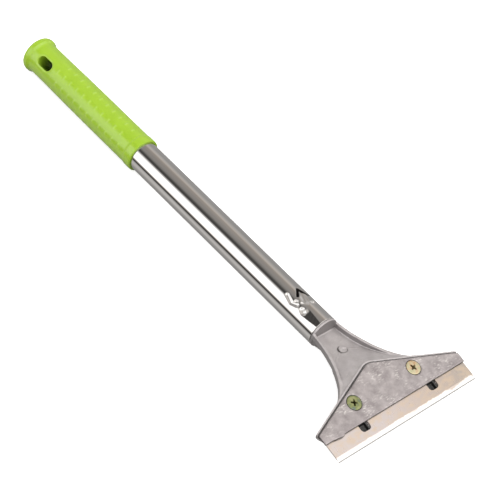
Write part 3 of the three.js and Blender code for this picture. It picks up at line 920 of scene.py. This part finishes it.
# ---- Blade ----
# Hardened steel strip, ground flat and then ground to an edge along one side. It keeps the CAD solid's
# crisp corners; the bevel, a thin dark line along the very edge and tones that darken and warm towards
# the tool's left end are painted on its face. The bevel is painted lighter, as bare steel and as a
# painted highlight.
EDGE_FROM_TUBE = 65.7
BEVEL_WIDTH = 2.8
BEVEL_WANDER = 1.6
BEVEL_START_WIDTH = 0.84
EDGE_LINE_WIDTH = 0.62
EDGE_LINE_START_WIDTH = 0.10
FACE_TONES_FROM = -50
FACE_TONES_TO = 51
FACE_TONES_ALONG = [  # from the tool's right end to its left
    (0.0, (0.80, 0.72, 0.69)),
    (0.35, (0.77, 0.70, 0.69)),
    (0.62, (0.72, 0.62, 0.56)),
    (0.85, (0.64, 0.55, 0.49)),
    (1.0, (0.56, 0.51, 0.46)),
]
WARM_PATCHES = (0.82, 0.66, 0.50)
BARE_BEVEL_AND_HIGHLIGHT = (0.93, 0.91, 0.89)
EDGE_DARK_LINE = (0.33, 0.32, 0.31)


def measure(material, direction, origin):
    """Distance in millimetres along a direction from an origin."""
    tree = material.node_tree
    where = tree.nodes.new("ShaderNodeTexCoord")
    dot = tree.nodes.new("ShaderNodeVectorMath")
    dot.operation = "DOT_PRODUCT"
    dot.inputs[1].default_value = Vector(direction) / MM
    wire(tree, where.outputs["Object"], dot.inputs[0])
    shift = tree.nodes.new("ShaderNodeMath")
    shift.operation = "SUBTRACT"
    shift.inputs[1].default_value = Vector(direction).dot(Vector(origin)) / MM
    wire(tree, dot.outputs["Value"], shift.inputs[0])
    return shift.outputs[0]


ground, ground_shader = finish("ground_steel", (0.85, 0.80, 0.75), 1, 0.25)
to_edge = measure(ground, TO_EDGE, TUBE_END)
to_left = measure(ground, (0, 1, 0), TUBE_END)
patches = cloud(ground, place_on(ground, (1, 0.55, 1)), 3.5, 5, 0.6)
# The face darkens and warms towards the tool's left end, with warm patches at random.
face_tones = ramp(ground, spread(ground, to_left, 0, 1, FACE_TONES_FROM, FACE_TONES_TO), FACE_TONES_ALONG)
face_tones = mix_colour(ground, spread(ground, patches, 0, 0.6, 0.44, 0.62), face_tones, WARM_PATCHES)
wander = spread(ground, patches, -BEVEL_WANDER, BEVEL_WANDER, 0.25, 0.75)
wandering = calculate(ground, "ADD", to_edge, wander)
bevel_from = EDGE_FROM_TUBE - BEVEL_WIDTH
on_bevel = spread(ground, wandering, 0, 1, bevel_from, bevel_from + BEVEL_START_WIDTH)
edge_line_from = EDGE_FROM_TUBE - EDGE_LINE_WIDTH
on_edge_line = spread(ground, to_edge, 0, 1, edge_line_from, edge_line_from + EDGE_LINE_START_WIDTH)
# The unmodelled bevel is painted lighter: bare ground steel and a painted highlight of its angled face.
face = mix_colour(ground, on_bevel, face_tones, BARE_BEVEL_AND_HIGHLIGHT)
# A thin dark line along the very edge.
face = mix_colour(ground, on_edge_line, face, EDGE_DARK_LINE)
wire(ground.node_tree, face, ground_shader.inputs["Base Color"])
ground_gloss = spread(ground, cloud(ground, place_on(ground, (0.05, 1, 1)), 1.2, 4), 0.24, 0.34)
wire(ground.node_tree, ground_gloss, ground_shader.inputs["Roughness"])
blade_object = frame["nodes"]["blade"]
blade_object.data.materials.clear()
blade_object.data.materials.append(ground)

# ---- Clamp screws ----
# Two M4 countersunk screws, yellow zinc plated over steel, each with a cross recess whose arms taper
# in towards the bottom. They thread through the plate and the blade seat into the head's bosses.
SCREW_HEAD_RADIUS = 4.1
SCREW_RADIUS = 2.0
SCREW_LENGTH = 12.0
SCREW_SUNK = 0.1
SCREW_RIM = 0.3
RECESS_ARM = 2.1
RECESS_DEPTH = 1.9
RECESS_ARM_HALF_WIDTH = 0.48
THREAD_PITCH = 0.7
THREAD_DEPTH = 0.3
SCREW_TURNS = {"left": 22, "right": 58}
ZINC_COLOURS = {
    "left": ((0.72, 0.62, 0.42), (0.66, 0.44, 0.25), (0.55, 0.58, 0.36)),
    "right": ((0.27, 0.31, 0.13), (0.42, 0.42, 0.22), (0.20, 0.24, 0.20)),
}
ZINC_RECESS_SHADE = (0.085, 0.050, 0.025)


def screw_body():
    """Head, cone and threaded shank, turned about z with the head's face at the top."""
    around = 72
    cone = SCREW_HEAD_RADIUS - SCREW_RADIUS
    head = softened(
        [
            [0.3, 0.06],
            [SCREW_HEAD_RADIUS * 0.6, 0.04],
            [SCREW_HEAD_RADIUS - 0.25, 0.0],
            [SCREW_HEAD_RADIUS, -0.12],
            [SCREW_HEAD_RADIUS, -SCREW_RIM],
            [SCREW_RADIUS, -SCREW_RIM - cone],
        ],
        2,
    )
    shank = np.array([[SCREW_RADIUS, z] for z in np.arange(-0.5 - cone, -SCREW_LENGTH + 0.6, -0.14)])
    tip = np.array([[SCREW_RADIUS - 0.5, -SCREW_LENGTH], [0.3, -SCREW_LENGTH]])
    profile = np.vstack([head, shank, tip])
    angle = np.linspace(0, 2 * math.pi, around, endpoint=False)
    height, turn = np.meshgrid(profile[:, 1], angle, indexing="ij")
    radius = np.repeat(profile[:, :1], around, 1)
    threaded = (radius == SCREW_RADIUS) & (height < -0.9 - cone)
    wave = np.abs(((height / THREAD_PITCH - turn / (2 * math.pi)) % 1) - 0.5) * 2
    radius = radius - np.where(threaded, THREAD_DEPTH * wave, 0)
    return np.stack([radius * np.cos(turn), radius * np.sin(turn), height], 2)


def recess_punch():
    """The cross-shaped driver point that leaves the recess: four arms that narrow downwards."""
    levels = [(0.5, 1.15, 1.12), (0.0, 1.0, 1.0), (-0.7, 0.72, 0.8), (-RECESS_DEPTH, 0.30, 0.55)]
    rings = []
    for height, reach, width in levels:
        arm = RECESS_ARM * reach
        half = RECESS_ARM_HALF_WIDTH * width
        inner = half * 1.25
        ring = []
        for quarter in range(4):
            turn = Matrix.Rotation(quarter * math.pi / 2, 2)
            for x, y in ((inner, -inner), (arm * 0.86, -half), (arm, 0), (arm * 0.86, half)):
                corner = turn @ Vector((max(x, inner), y))
                ring.append((corner.x, corner.y, height))
        rings.append(ring)
    return np.array(rings)


def clamp_screw(side):
    """One screw, turned in its hole to where it was left, with its own shade of plating."""
    face_centre = Vector(joint_called(f"screw_{side}_turn")["pos_m"])
    place = SEAT_PLACE.copy()
    place.translation = face_centre - OUT_OF_PLATE * (SCREW_SUNK * MM)
    place = place @ Matrix.Rotation(math.radians(SCREW_TURNS[side]), 4, "Z")
    screw = ring_skin(f"zinc_screw_{side}", screw_body(), place)
    cut_away(screw, ring_skin("driver_point", recess_punch(), place))
    screw.data.shade_smooth()
    screw.data.set_sharp_from_angle(angle=math.radians(35))
    main, warm, cool = ZINC_COLOURS[side]
    zinc, shader = finish(f"yellow_zinc_{side}", main, 0.9, 0.34)
    where = place_on(zinc)
    tone = ramp(zinc, cloud(zinc, where, 2.4, 3), [(0.36, cool), (0.5, main), (0.64, warm)])
    # Painted shade: the cross recess and the countersink's rim are darkened.
    tone = mix_colour(zinc, crevices(zinc, 1.2, 0.35, 0.80), ZINC_RECESS_SHADE, tone)
    wire(zinc.node_tree, tone, shader.inputs["Base Color"])
    texture_height(zinc, shader, cloud(zinc, where, 0.7, 4), 0.04, 0.5)
    screw.data.materials.clear()
    screw.data.materials.append(zinc)
    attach(screw, f"screw_{side}")
    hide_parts(f"clamp_screw_{side}")


for side in ("left", "right"):
    clamp_screw(side)
